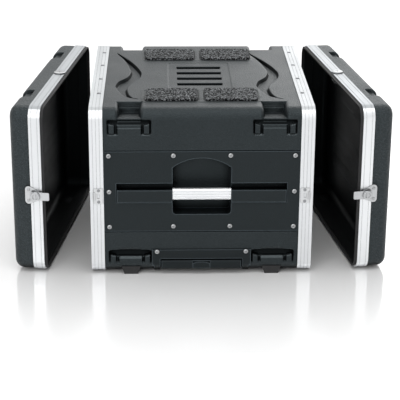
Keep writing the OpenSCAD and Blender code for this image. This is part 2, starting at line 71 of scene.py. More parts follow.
def make(name, verts, faces, mats, body, replaces=(), flip=False, smooth=True, face_mats=None, recalc=True):
    me = bpy.data.meshes.new(name)
    if flip:
        faces = [tuple(reversed(f)) for f in faces]
    me.from_pydata([tuple(v) for v in verts], [], [tuple(map(int, f)) for f in faces])
    for m in mats:
        me.materials.append(m)
    if face_mats is not None:
        me.polygons.foreach_set("material_index", list(face_mats))
    me.update()
    bm = bmesh.new()
    bm.from_mesh(me)
    bmesh.ops.remove_doubles(bm, verts=bm.verts, dist=2e-6)
    bmesh.ops.dissolve_degenerate(bm, edges=bm.edges, dist=1e-7)
    loose = [v for v in bm.verts if not v.link_faces]
    bmesh.ops.delete(bm, geom=loose, context="VERTS")
    if recalc:
        bmesh.ops.recalc_face_normals(bm, faces=bm.faces)
    bm.to_mesh(me)
    bm.free()
    if smooth:
        me.shade_smooth()
    ob = bpy.data.objects.new(name, me)
    scene.collection.objects.link(ob)
    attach(ob, body)
    if replaces:
        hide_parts(*replaces)
    return ob


def weighted(ob, angle=35):
    m = ob.modifiers.new("wn", "WEIGHTED_NORMAL")
    m.keep_sharp = True
    m.weight = 60
    return ob


def lines(lo, hi, step, *edges, bev=1.1):
    """Grid lines from lo to hi, about step apart, with close pairs round each feature edge."""
    keep = [lo, hi]
    for e in edges:
        keep += [e - bev, e - 0.35, e + 0.35, e + bev]
    keep = sorted({round(k, 3) for k in keep if lo <= k <= hi})
    out = [keep[0]]
    for a, b in zip(keep, keep[1:]):
        n = max(1, int(round((b - a) / step)))
        out += [a + (b - a) * (i + 1) / n for i in range(n)]
    out = np.array(out)
    gap = np.concatenate([[True], np.diff(out) > 0.12])
    return out[gap]


def sstep(x, e, w=0.35):
    """Smooth step from 0 to 1 as x rises past e, over plus or minus w."""
    t = np.clip((x - e) / (2 * w) + 0.5, 0, 1)
    return t * t * (3 - 2 * t)


def band(x, a, b, w=0.35):
    return sstep(x, a, w) * (1 - sstep(x, b, w))


# ------------------------------------------------------------------ outline
NARC = 14


def perimeter(t, ys, zs, narc=NARC):
    """The case outline inset by t: (points, normals, face id, u), ys on top and bottom, zs on the sides. Faces: 0 top, 1 near, 2 bottom, 3 far, 4..7 the arcs after each."""
    r = CORNER - t
    a, b = HD - t, H / 2 - t
    P, N, F, Q = [], [], [], []

    def arc(cy, cz, a0, fid):
        for k in range(1, narc):
            th = math.radians(a0 + 90.0 * k / narc)
            n = (math.cos(th), math.sin(th))
            P.append((cy + r * n[0], ZC + cz + r * n[1]))
            N.append(n)
            F.append(fid)
            Q.append(90.0 * k / narc)

    for y in ys[::-1]:
        P.append((y, ZC + b)); N.append((0, 1)); F.append(0); Q.append(y)
    arc(-(a - r), b - r, 90, 4)
    for z in zs[::-1]:
        P.append((-a, z)); N.append((-1, 0)); F.append(1); Q.append(z)
    arc(-(a - r), -(b - r), 180, 5)
    for y in ys:
        P.append((y, ZC - b)); N.append((0, -1)); F.append(2); Q.append(y)
    arc(a - r, -(b - r), 270, 6)
    for z in zs:
        P.append((a, z)); N.append((1, 0)); F.append(3); Q.append(z)
    arc(a - r, b - r, 0, 7)
    return np.array(P), np.array(N), np.array(F), np.array(Q)


YA, ZA = HD - CORNER, H / 2 - CORNER  # ends of the flats


# ------------------------------------------------------------------ materials
def new_mat(name):
    m = bpy.data.materials.new(name)
    m.use_nodes = True
    nt = m.node_tree
    bsdf = nt.nodes["Principled BSDF"]
    return m, nt, bsdf


def node(nt, kind, **kw):
    n = nt.nodes.new(kind)
    for k, v in kw.items():
        if k.startswith("i_"):
            n.inputs[k[2:].replace("_", " ")].default_value = v
        else:
            setattr(n, k, v)
    return n


def link(nt, a, b):
    nt.links.new(a, b)


def ramp(nt, fac, stops):
    r = node(nt, "ShaderNodeValToRGB")
    cr = r.color_ramp
    while len(cr.elements) < len(stops):
        cr.elements.new(0.5)
    for el, (p, c) in zip(cr.elements, stops):
        el.position = p
        el.color = (*c, 1) if len(c) == 3 else c
    link(nt, fac, r.inputs[0])
    return r


def maprange(nt, val, a, b, c, d):
    m = node(nt, "ShaderNodeMapRange")
    link(nt, val, m.inputs["Value"])
    m.inputs["From Min"].default_value, m.inputs["From Max"].default_value = a, b
    m.inputs["To Min"].default_value, m.inputs["To Max"].default_value = c, d
    return m


def bump(nt, bsdf, height, strength, dist, prev=None):
    b = node(nt, "ShaderNodeBump")
    b.inputs["Strength"].default_value = strength
    b.inputs["Distance"].default_value = dist
    link(nt, height, b.inputs["Height"])
    if prev is not None:
        link(nt, prev.outputs[0], b.inputs["Normal"])
    link(nt, b.outputs[0], bsdf.inputs["Normal"])
    return b


def grain_plastic(name, dark, light, rough, scale=420, strength=0.5, dist=0.0004, spec=0.4, coat=0.0, highlight_gain=4.0, speck=0.17, highlight_radius=0.0014):
    """Moulded plastic with a pebble grain, faint colour drift, painted highlights along its edges and painted shade in
    its recesses.
    """
    m, nt, bs = new_mat(name)
    tc = node(nt, "ShaderNodeTexCoord")
    vor = node(nt, "ShaderNodeTexVoronoi", feature="SMOOTH_F1")
    vor.inputs["Scale"].default_value = scale
    vor.inputs["Smoothness"].default_value = 0.35
    warp = node(nt, "ShaderNodeTexNoise")
    warp.inputs["Scale"].default_value = scale * 0.6
    mix = node(nt, "ShaderNodeMixRGB", blend_type="MIX")
    mix.inputs[0].default_value = 0.006
    link(nt, tc.outputs["Object"], warp.inputs["Vector"])
    link(nt, tc.outputs["Object"], mix.inputs[1])
    link(nt, warp.outputs["Color"], mix.inputs[2])
    link(nt, mix.outputs[0], vor.inputs["Vector"])
    big = node(nt, "ShaderNodeTexNoise")
    big.inputs["Scale"].default_value = 9
    big.inputs["Detail"].default_value = 5
    link(nt, tc.outputs["Object"], big.inputs["Vector"])
    fine = node(nt, "ShaderNodeTexNoise")
    fine.inputs["Scale"].default_value = scale * 3
    fine.inputs["Detail"].default_value = 2
    link(nt, tc.outputs["Object"], fine.inputs["Vector"])
    geo = node(nt, "ShaderNodeNewGeometry")
    col = ramp(nt, big.outputs["Fac"], [(0.3, dark), (0.72, light)])
    cell = maprange(nt, vor.outputs["Distance"], 0.12, 0.62, 1 + speck, 1 - speck)
    mul = node(nt, "ShaderNodeMixRGB", blend_type="MULTIPLY")
    mul.inputs[0].default_value = 1
    link(nt, col.outputs[0], mul.inputs[1])
    link(nt, cell.outputs[0], mul.inputs[2])
    # painted highlights along the edges, and painted shade (ambient occlusion) in the recesses
    bev = node(nt, "ShaderNodeBevel", samples=4)
    bev.inputs["Radius"].default_value = highlight_radius
    dot = node(nt, "ShaderNodeVectorMath", operation="DOT_PRODUCT")
    link(nt, bev.outputs[0], dot.inputs[0])
    link(nt, geo.outputs["Normal"], dot.inputs[1])
    edge = maprange(nt, dot.outputs["Value"], 0.995, 0.93, 0, 1)
    ao = node(nt, "ShaderNodeAmbientOcclusion", samples=6)
    ao.inputs["Distance"].default_value = 0.022
    ao_shade = maprange(nt, ao.outputs["AO"], 0.35, 0.95, 0.12, 1)
    painted_edge_highlight = node(nt, "ShaderNodeMixRGB", blend_type="MIX")
    painted_edge_highlight.inputs[2].default_value = tuple(min(1, c * highlight_gain) for c in light) + (1,)
    wf = node(nt, "ShaderNodeMath", operation="MULTIPLY")
    wf.inputs[1].default_value = 0.8
    link(nt, edge.outputs[0], wf.inputs[0])
    link(nt, wf.outputs[0], painted_edge_highlight.inputs[0])
    link(nt, mul.outputs[0], painted_edge_highlight.inputs[1])
    # painted shade: ambient occlusion darkens the colour in recesses and creases
    painted_recess_shade = node(nt, "ShaderNodeMixRGB", blend_type="MULTIPLY")
    painted_recess_shade.inputs[0].default_value = 1
    link(nt, painted_edge_highlight.outputs[0], painted_recess_shade.inputs[1])
    link(nt, ao_shade.outputs[0], painted_recess_shade.inputs[2])
    link(nt, painted_recess_shade.outputs[0], bs.inputs["Base Color"])
    # painted shade: the same occlusion also dims the gloss in recesses
    sp = node(nt, "ShaderNodeMath", operation="MULTIPLY")
    sp.inputs[1].default_value = spec
    link(nt, ao_shade.outputs[0], sp.inputs[0])
    r = maprange(nt, big.outputs["Fac"], 0.3, 0.7, rough - 0.04, rough + 0.05)
    r2 = node(nt, "ShaderNodeMath", operation="MULTIPLY_ADD")
    link(nt, fine.outputs["Fac"], r2.inputs[0])
    r2.inputs[1].default_value = 0.08
    link(nt, r.outputs[0], r2.inputs[2])
    link(nt, r2.outputs[0], bs.inputs["Roughness"])
    link(nt, sp.outputs[0], bs.inputs["Specular IOR Level"])
    bs.inputs["Specular Tint"].default_value = (0.8, 0.95, 1.0, 1)
    bs.inputs["Coat Weight"].default_value = coat
    hsum = node(nt, "ShaderNodeMath", operation="MULTIPLY_ADD")
    link(nt, fine.outputs["Fac"], hsum.inputs[0])
    hsum.inputs[1].default_value = 0.25
    inv = maprange(nt, vor.outputs["Distance"], 0, 0.8, 1, 0)
    link(nt, inv.outputs[0], hsum.inputs[2])
    bump(nt, bs, hsum.outputs[0], strength, dist)
    return m


def brushed(name, col, rough, side=0, scale=900, along="x", aniso=0.4, strength=0.05, metallic=1.0, ring=True):
    """Drawn or brushed metal whose lines run round the case; side turns it with a lid."""
    m, nt, bs = new_mat(name)
    tc = node(nt, "ShaderNodeTexCoord")
    mp = node(nt, "ShaderNodeMapping")
    mp.inputs["Rotation"].default_value = (0, 0, -side * OPEN)
    link(nt, tc.outputs["Object"], mp.inputs["Vector"])
    st = node(nt, "ShaderNodeMapping")
    k = {"x": (1, 0.012, 0.012), "y": (0.012, 1, 0.012), "z": (0.012, 0.012, 1)}[along] if ring else {"x": (0.02, 1, 1), "y": (1, 0.02, 1), "z": (1, 1, 0.02)}[along]
    st.inputs["Scale"].default_value = k
    link(nt, mp.outputs[0], st.inputs["Vector"])
    n1 = node(nt, "ShaderNodeTexNoise")
    n1.inputs["Scale"].default_value = scale
    n1.inputs["Detail"].default_value = 4
    link(nt, st.outputs[0], n1.inputs["Vector"])
    n2 = node(nt, "ShaderNodeTexNoise")
    n2.inputs["Scale"].default_value = 14
    n2.inputs["Detail"].default_value = 6
    link(nt, tc.outputs["Object"], n2.inputs["Vector"])
    geo = node(nt, "ShaderNodeNewGeometry")
    c = ramp(nt, n1.outputs["Fac"], [(0.25, tuple(x * 0.965 for x in col)), (0.75, tuple(min(1, x * 1.015) for x in col))])
    mul = node(nt, "ShaderNodeMixRGB", blend_type="MULTIPLY")
    mul.inputs[0].default_value = 1
    link(nt, c.outputs[0], mul.inputs[1])
    mul.inputs[2].default_value = (0.97, 0.97, 0.97, 1)
    # painted shade: ambient occlusion darkens the metal's colour in flutes, grooves and recesses
    ao = node(nt, "ShaderNodeAmbientOcclusion", samples=6)
    ao.inputs["Distance"].default_value = 0.007
    ao_shade = maprange(nt, ao.outputs["AO"], 0.3, 0.9, 0.3, 1)
    painted_crease_shade = node(nt, "ShaderNodeMixRGB", blend_type="MULTIPLY")
    painted_crease_shade.inputs[0].default_value = 1
    link(nt, mul.outputs[0], painted_crease_shade.inputs[1])
    link(nt, ao_shade.outputs[0], painted_crease_shade.inputs[2])
    link(nt, painted_crease_shade.outputs[0], bs.inputs["Base Color"])
    bs.inputs["Metallic"].default_value = metallic
    bs.inputs["Anisotropic"].default_value = aniso
    ra = maprange(nt, n1.outputs["Fac"], 0.2, 0.8, rough - 0.05, rough + 0.06)
    rb = maprange(nt, n2.outputs["Fac"], 0.3, 0.75, 0, 0.08)
    add = node(nt, "ShaderNodeMath", operation="ADD")
    link(nt, ra.outputs[0], add.inputs[0])
    link(nt, rb.outputs[0], add.inputs[1])
    link(nt, add.outputs[0], bs.inputs["Roughness"])
    bump(nt, bs, n1.outputs["Fac"], strength, 0.0002)
    return m


def speckled_rubber(name, dark, light, rough, scale, strength=0.7, dist=0.0008, spec=0.35, lo=0.42, hi=0.62):
    m, nt, bs = new_mat(name)
    tc = node(nt, "ShaderNodeTexCoord")
    n1 = node(nt, "ShaderNodeTexNoise")
    n1.inputs["Scale"].default_value = scale
    n1.inputs["Detail"].default_value = 6
    n1.inputs["Roughness"].default_value = 0.7
    link(nt, tc.outputs["Object"], n1.inputs["Vector"])
    v = node(nt, "ShaderNodeTexVoronoi")
    v.inputs["Scale"].default_value = scale * 1.4
    link(nt, tc.outputs["Object"], v.inputs["Vector"])
    c = ramp(nt, n1.outputs["Fac"], [(lo, dark), (hi, light)])
    link(nt, c.outputs[0], bs.inputs["Base Color"])
    r = maprange(nt, v.outputs["Distance"], 0, 0.7, rough - 0.1, rough + 0.1)
    link(nt, r.outputs[0], bs.inputs["Roughness"])
    bs.inputs["Specular IOR Level"].default_value = spec
    b1 = bump(nt, bs, n1.outputs["Fac"], strength, dist)
    bump(nt, bs, v.outputs["Distance"], strength * 0.4, dist * 0.6, b1)
    return m


M = {}
# the gain and radius given for the edges set how strongly the edges are painted lighter, as painted highlight
M["shell"] = grain_plastic("moulded_shell", (0.0066, 0.0084, 0.0096), (0.0094, 0.0116, 0.013), 0.36, scale=340, strength=0.7, dist=0.0008, spec=0.36, highlight_gain=5, speck=0.26)
M["lid"] = grain_plastic("moulded_lid", (0.0106, 0.0132, 0.0149), (0.0149, 0.0179, 0.0198), 0.4, scale=300, strength=1.0, dist=0.0013, spec=0.46, speck=0.55)
# a darker copy of the plastic for the inside skins: painted shade inside the case and lids
M["inner"] = grain_plastic("moulded_inside_shaded", (0.0022, 0.0024, 0.0028), (0.0034, 0.0036, 0.004), 0.36, scale=300, strength=0.25, dist=0.0004, spec=0.22)
# a lighter, glossier copy of the shell plastic as painted highlight on the pocket steps, and a darker, duller copy as
# painted shade on channel walls and in deep pockets
M["ridge"] = grain_plastic("moulded_painted_highlight", (0.017, 0.0195, 0.021), (0.024, 0.0275, 0.03), 0.27, scale=340, strength=0.2, dist=0.0003, spec=0.6, highlight_gain=2)
M["groove"] = grain_plastic("moulded_painted_shade", (0.003, 0.0038, 0.0044), (0.0045, 0.0056, 0.0062), 0.5, scale=340, strength=0.5, dist=0.0005, spec=0.12, highlight_gain=2)
M["panel"] = grain_plastic("panel_plastic", (0.0034, 0.0044, 0.0052), (0.005, 0.0063, 0.0072), 0.4, scale=520, strength=0.34, dist=0.0004, spec=0.32, highlight_gain=14, highlight_radius=0.003)
M["block"] = grain_plastic("smooth_plastic", (0.003, 0.0038, 0.0044), (0.0046, 0.0056, 0.0063), 0.36, scale=900, strength=0.2, dist=0.0002, spec=0.27, highlight_gain=16, highlight_radius=0.003)
M["valance"] = brushed("edging_aluminium", (0.77, 0.785, 0.8), 0.48, 0, scale=620)
# darker copies of the aluminium for the edgings' upward faces: painted shade
M["valance_top"] = brushed("edging_aluminium_top_shaded", (0.54, 0.555, 0.565), 0.5, 0, scale=620)
M["valance_top_lid"] = brushed("edging_aluminium_lid_top_shaded", (0.43, 0.447, 0.46), 0.46, 0, scale=620)
# the two lids' edgings are one aluminium; the left lid's is painted darker and the right lid's lighter, as painted
# light
M["valance_l"] = brushed("edging_aluminium_left_lid", (0.74, 0.755, 0.77), 0.42, -1, scale=620)
M["valance_r"] = brushed("edging_aluminium_right_lid", (0.84, 0.855, 0.87), 0.42, 1, scale=620)
M["grip"] = brushed("grip_aluminium", (0.84, 0.855, 0.87), 0.48, 0, scale=700, along="x", ring=False, aniso=0.2)
M["tube"] = brushed("tube_aluminium", (0.6, 0.61, 0.62), 0.3, 0, scale=600, along="y", ring=False)
M["zinc"] = brushed("zinc_steel", (0.4, 0.408, 0.415), 0.27, 0, scale=500, along="z", ring=False, aniso=0.2)
M["latch"] = brushed("latch_steel", (0.5, 0.51, 0.52), 0.26, 0, scale=450, along="x", ring=False, aniso=0.2)
M["keeper"] = brushed("keeper_steel", (0.64, 0.65, 0.66), 0.26, 0, scale=450, along="z", ring=False, aniso=0.2)
M["rivet"] = brushed("rivet_steel", (0.3, 0.31, 0.32), 0.4, 0, scale=450, along="z", ring=False, aniso=0.1)
M["rail"] = grain_plastic("rail_powder_coat", (0.016, 0.016, 0.017), (0.024, 0.024, 0.025), 0.45, scale=1500, strength=0.3, dist=0.0002)
M["rubber"] = speckled_rubber("black_rubber", (0.012, 0.012, 0.0125), (0.022, 0.022, 0.023), 0.62, 700, 0.35, 0.0003)
M["pad"] = speckled_rubber("pad_rubber", (0.0035, 0.0037, 0.004), (0.2, 0.209, 0.216), 0.75, 260, 1.0, 0.0012, spec=0.06, lo=0.5, hi=0.57)
M["tyre"] = speckled_rubber("tyre_rubber", (0.012, 0.012, 0.012), (0.02, 0.02, 0.021), 0.6, 500, 0.4, 0.0004)


# ------------------------------------------------------------------ case shell
T_NOTCH = (131.0, 178.0)
# Moulded channels in the top: (x, y) of each long edge, from the wheel side to the tow side
CH_OUT = [(-191, 190), (-167, 135), (-148, 82), (-136, 38), (-131, 4), (-136, -36), (-156, -85), (-162, -116), (-157, -162), (-147, -186), (-134, -193)]
CH_IN = [(-193, 186), (-171, 117), (-158, 47), (-155, 12), (-163, -28), (-180, -57), (-187, -89), (-186, -108), (-176, -148), (-163, -178), (-138, -196)]


def spline(pts, n):
    pts = np.array(pts, float)
    P = np.vstack([2 * pts[0] - pts[1], pts, 2 * pts[-1] - pts[-2]])
    out = []
    for i in range(1, len(P) - 2):
        for t in np.linspace(0, 1, n, endpoint=False):
            a, b, c, d = P[i - 1 : i + 3]
            out.append(0.5 * (2 * b + (c - a) * t + (2 * a - 5 * b + 4 * c - d) * t * t + (3 * b - a - 3 * c + d) * t ** 3))
    out.append(pts[-1])
    return np.array(out)


SP_OUT, SP_IN = spline(CH_OUT, 12), spline(CH_IN, 12)
RIGHT_SHIFT = 313.0


def channel_edges(y, shift):
    """x of the two long edges of a channel at height y across the top."""
    xi = np.interp(y, SP_IN[::-1, 1], SP_IN[::-1, 0])
    xo = np.interp(y, SP_OUT[::-1, 1], SP_OUT[::-1, 0])
    return xi + shift, np.maximum(xo, xi + 1.5) + shift


def channel_depth(x, y, shift):
    xi, xo = channel_edges(y, shift)
    inside = np.minimum(x - xi, xo - x)
    t = np.clip(inside / 1.9, 0, 1)
    ends = np.clip(np.minimum(188 - y, y + 196) / 16, 0, 1)
    return 7.8 * t * t * (3 - 2 * t) * ends * ends * (3 - 2 * ends)


def warp(x, y, shift):
    """Moves grid lines so that they follow the channel's edges."""
    xi, xo = channel_edges(y, shift)
    w = np.clip(np.minimum(206 - y, y + 210) / 14, 0, 1)
    w = w * w * (3 - 2 * w)
    lo, b1, b2, hi = -204 + shift, -172 + shift, -150 + shift, -118 + shift
    f = np.where(x < b1, lo + (x - lo) * (xi - lo) / (b1 - lo), np.where(x < b2, xi + (x - b1) * (xo - xi) / (b2 - b1), xo + (x - b2) * (hi - xo) / (hi - b2)))
    inside = (x > lo) & (x < hi)
    return np.where(inside, x + w * (f - x), x)


def rrect(x, y, x0, x1, y0, y1, r):
    """Signed distance to a rounded rectangle, negative inside."""
    qx = np.abs(x - (x0 + x1) / 2) - (x1 - x0) / 2 + r
    qy = np.abs(y - (y0 + y1) / 2) - (y1 - y0) / 2 + r
    return np.hypot(np.maximum(qx, 0), np.maximum(qy, 0)) + np.minimum(np.maximum(qx, qy), 0) - r


def ramp1(v, a, b):
    """0 at a, 1 at b, smooth between."""
    t = np.clip((v - a) / (b - a), 0, 1)
    return t * t * (3 - 2 * t)


def pocket(x, z, low):
    """Relief of a corner pocket: a recess that deepens above a stepped block and a sloping pillow at each side."""
    ax = np.abs(x)
    c = 155.3
    z0, z1 = (22.0, 59.5) if low else (321.0, 356.0)
    bow = 3.0 * ((ax - c) / 48) ** 2 if low else 0.0
    rim = rrect(ax, z + bow, c - 47.0, c + 47.0, z0 - 1, z1, 5.0)
    mask = 1 - ramp1(rim, -1.9, 0.2)
    if low:
        deep, rise = 9.5, (39.0, 45.0)
        face = np.interp(z, [z0, 37.2, 39.8, 41.5, 43.0], [-0.3, -0.3, -3.2, -3.8, -deep])
    else:
        deep, rise = 8.6, (343.0, 352.0)
        face = np.interp(z, [z0, 334.2, 336.8, 341.0, 343.6, 348.2, 350.4, 352.5, 354.5], [-0.3, -0.3, -2.9, -3.1, -5.6, -5.9, -7.2, -7.6, -deep])
    rec = np.interp(z, [z0 - 1, z0 + 4, *rise], [-2.4, -4.4, -5.2, -deep])
    blk = face - 12 * ramp1(np.abs(ax - c), 25.0, 26.8)
    d = np.maximum(rec, blk)
    for s in (-1, 1):
        cx = c + s * 37.4
        top = (46.6 if low else 346.4) - 0.24 * np.clip(7.4 - s * (ax - cx), 0, 15)
        pil = rrect(ax, z, cx - 7.6, cx + 7.6, z0 + 0.8, 400, 3.4)
        lip = np.interp(z - top, [-2.8, -0.2, 2.4], [0.0, -2.4, -12.0])
        d = np.maximum(d, -0.3 + lip - 12 * ramp1(pil, -2.2, 0.6))
    return np.minimum(mask * d, 0.0)


def notch(ax, deep):
    """Limits a notch's depth near its two sides: a chamfer, then a steep wall."""
    dist = 28.6 - np.abs(ax - 154.5)
    lim = np.where(dist < 4.5, dist * 0.95, 4.3 + (dist - 4.5) * 4.5)
    return np.minimum(deep, np.maximum(lim, 0))


def uniq(*parts, gap=0.3, ends=None):
    v = np.unique(np.round(np.concatenate([np.atleast_1d(np.asarray(p, float)) for p in parts]), 3))
    keep = [v[0]]
    for k in v[1:]:
        if k - keep[-1] >= gap:
            keep.append(k)
    v = np.array(keep)
    if ends:
        v = v[(v > ends[0] + gap) & (v < ends[1] - gap)]
        v = np.concatenate([[ends[0]], v, [ends[1]]])
    return v


def around(e, reach=3.0, step=0.9):
    return np.arange(e - reach, e + reach + 0.01, step)


def sym(*v):
    return [s * k for k in v for s in (1, -1)]


def grid_faces(nx, ns, open_, off=0, rev=False):
    out = []
    for i in range(nx - 1):
        for j in range(ns):
            if open_ is not None and open_[i, j]:
                continue
            k = (j + 1) % ns
            f = (off + i * ns + j, off + i * ns + k, off + (i + 1) * ns + k, off + (i + 1) * ns + j)
            out.append(f[::-1] if rev else f)
    return out


def openings(xs, P, F):
    mid = (P + np.roll(P, -1, 0)) / 2
    xc = np.abs((xs[1:] + xs[:-1]) / 2)[:, None]
    y, z = mid[:, 0][None, :], mid[:, 1][None, :]
    flat = (((F == 1) & (np.roll(F, -1) == 1)) | ((F == 3) & (np.roll(F, -1) == 3)))[None, :]
    o = flat & (((xc < 73) & (z > 132) & (z < 268.5)) | ((xc < 190) & (z > 162) & (z < 218)))
    o = o | ((y < -237.9) & (z < 52.5) & (xc < 104.5))
    o = o | ((y > 216) & (z < 56) & (xc > 131) & (xc < 177))
    return o


def build_shell():
    pady = [-213, -129, 118, 203]
    ys = uniq(np.arange(-YA, YA, 5.0), *[around(e, 8.0, 1.9) for e in pady], *[around(e, 2.2, 0.7) for e in sym(214.5, 226.5)],
              *[around(e, 3.2, 1.05) for e in sym(0)], *[around(y0 + k, 2.0, 0.8) for y0 in LOUVRES for k in (9,)], *[around(e, 3, 1.2) for e in (-113, 101)],
              [-237.9, 216.0], gap=0.45, ends=(-YA, YA))
    zs = uniq(np.arange(ZC - ZA, ZC + ZA, 12.0), *[around(e, 0.9, 0.45) for e in (99.7, 286.3)], [132, 268.5, 162, 218, 52.5, 56],
              np.arange(320.0, 358.0, 1.35), np.arange(20.5, 61.0, 1.35), gap=0.4, ends=(ZC - ZA, ZC + ZA))
    for e in (132, 268.5, 162, 218, 52.5, 56):
        zs[np.argmin(np.abs(zs - e))] = e
    xpos = np.concatenate([np.arange(0, 225, 11.0), np.arange(104.0, 208.0, 1.75), np.arange(4.0, 20.0, 1.9), np.arange(110.0, 132.0, 1.9), around(50, 3.0, 1.0), around(72, 3.0, 1.2), around(210.99, 0.5, 0.5), [73, 190, 104.5, 131, 177]])
    xs = uniq(xpos, -xpos, gap=0.55, ends=(-225, 225))
    for e in sym(73, 190, 104.5, 131, 177):
        xs[np.argmin(np.abs(xs - e))] = e
    ys[np.argmin(np.abs(ys + 237.9))] = -237.9
    ys[np.argmin(np.abs(ys - 216.0))] = 216.0
    P, N, F, Q = perimeter(PROUD, ys, zs, NARC)
    nx, ns = len(xs), len(P)
    one = np.ones((nx, 1))
    nf, q = one * F, one * Q
    X = xs[:, None] * np.ones((1, ns))
    top = nf == 0
    X = np.where(top, warp(warp(X, q, 0.0), q, RIGHT_SHIFT), X)
    ax = np.abs(X)
    D = np.zeros_like(X)
    side = (nf == 1) | (nf == 3)
    D = np.where(side, D - 2.5 * band(X, -211, 211, 0.4) * band(q, 99.7, 286.3, 0.4), D)
    pk = pocket(X, q, False) + pocket(X, q, True) * (nf == 1)
    D = np.where(side, D + pk, D)
    # stacking notches: floor at z 357, ledge at z 368
    step = 9.5 * sstep(np.abs(q), 214.5, 1.4) + 11.0 * sstep(np.abs(q), 226.5, 1.2)
    D = np.where(top, D - notch(ax, step), D)
    r = CORNER - PROUD
    for fid in (4, 7):
        th = np.radians(np.where(nf == fid, q, 45))
        up = np.cos(th) if fid == 4 else np.sin(th)
        depth = np.clip(r - (357 - (ZT - CORNER)) / np.maximum(up, 1e-3), 0, 22)
        D = np.where(nf == fid, D - notch(ax, depth), D)
    # platforms under the pads, with a shallow moulded groove round each pad
    plat = np.maximum(1 - ramp1(rrect(X, q, -131, 131, -221, -121, 12), -3.2, 0), 1 - ramp1(rrect(X, q, -129, 129, 110, 240, 12), -3.2, 0))
    D = np.where(top, D + 1.2 * plat, D)
    for y0, y1 in ((-213, -129), (118, 203)):
        sd = rrect(ax, q, 8, 122, y0, y1, 9)
        D = np.where(top, D - 1.4 * (1 - ramp1(np.abs(sd - 0.6), 1.0, 2.4)), D)
    # field in the middle with four louvres
    D = np.where(top, D - 1.2 * (1 - ramp1(rrect(X, q, -72, 72, -112, 100, 10), -3.5, 0)), D)
    for y0 in LOUVRES:
        D = np.where(top, D - 5.2 * band(X, -50, 50, 1.2) * (ramp1(q, y0 - 12, y0 + 6) * (1 - ramp1(q, y0 + 8.2, y0 + 9.8))), D)
    ch = channel_depth(X, q, 0.0) + channel_depth(X, q, RIGHT_SHIFT)
    D = np.where(top, D - ch, D)
    V = np.stack([X, one * P[:, 0] + one * N[:, 0] * D, one * P[:, 1] + one * N[:, 1] * D], -1)
    opn = openings(xs, P, F)
    verts = [V.reshape(-1, 3)]
    faces = grid_faces(nx, ns, opn)
    # painted shade: the steep walls of the channels and louvres and the deep parts of the pockets take a darker, less
    # glossy copy of the plastic; painted highlight: the sloping steps in the pockets take a lighter, glossier copy
    Dn = np.roll(D, -1, 1)
    lo = np.minimum(np.minimum(D[:-1], D[1:]), np.minimum(Dn[:-1], Dn[1:]))
    hi = np.maximum(np.maximum(D[:-1], D[1:]), np.maximum(Dn[:-1], Dn[1:]))
    on_top = (F == 0)[None, :] & (np.abs(q[:-1]) < 200)
    steep = (on_top & (hi - lo > 0.9) & (lo < -1.6)) | (on_top & (lo < -4.6) & (np.abs(X[:-1]) < 52))
    zc, zn = q[:-1], np.roll(q, -1, 1)[:-1]
    flat_side = ((F == 1) | (F == 3))[None, :] & ((np.roll(F, -1) == 1) | (np.roll(F, -1) == 3))[None, :]
    in_pocket = flat_side & (np.abs(X[:-1]) > 106) & (np.abs(X[:-1]) < 204) & (((zc > 321) & (zc < 357)) | ((zc > 20) & (zc < 61)))
    dz = np.where(np.abs(zn - zc) < 0.05, 1.0, zn - zc)
    slope = (Dn[:-1] + Dn[1:] - D[:-1] - D[1:]) / 2 / dz
    lit_tread = in_pocket & (slope < -0.5) & (hi > -6.2) & (lo > -8.0)
    deep = in_pocket & (lo < -3.9) & ~lit_tread
    kind = np.where(lit_tread, 3, np.where(steep | deep, 2, 0))
    fm = [int(kind[i, j]) for i in range(nx - 1) for j in range(ns) if not opn[i, j]]
    # returns round the openings and the two ends, one wall deep
    W = V - np.stack([np.zeros_like(X), one * N[:, 0], one * N[:, 1]], -1) * (WALL + 0.2)
    verts.append(W.reshape(-1, 3))
    n = nx * ns
    idx = lambda i, j: i * ns + (j % ns)
    for i, j in zip(*np.nonzero(opn)):
        for di, dj, e0, e1 in ((-1, 0, (i, j), (i, j + 1)), (1, 0, (i + 1, j + 1), (i + 1, j)), (0, -1, (i + 1, j), (i, j)), (0, 1, (i, j + 1), (i + 1, j + 1))):
            ii, jj = i + di, (j + dj) % ns
            if 0 <= ii < nx - 1 and not opn[ii, jj]:
                u, v = idx(*e0), idx(*e1)
                faces.append((u, v, v + n, u + n)); fm.append(0)
    for j in range(ns):
        u, v = idx(0, j), idx(0, j + 1)
        faces.append((u, u + n, v + n, v)); fm.append(0)
        u, v = idx(nx - 1, j), idx(nx - 1, j + 1)
        faces.append((u, v, v + n, u + n)); fm.append(0)
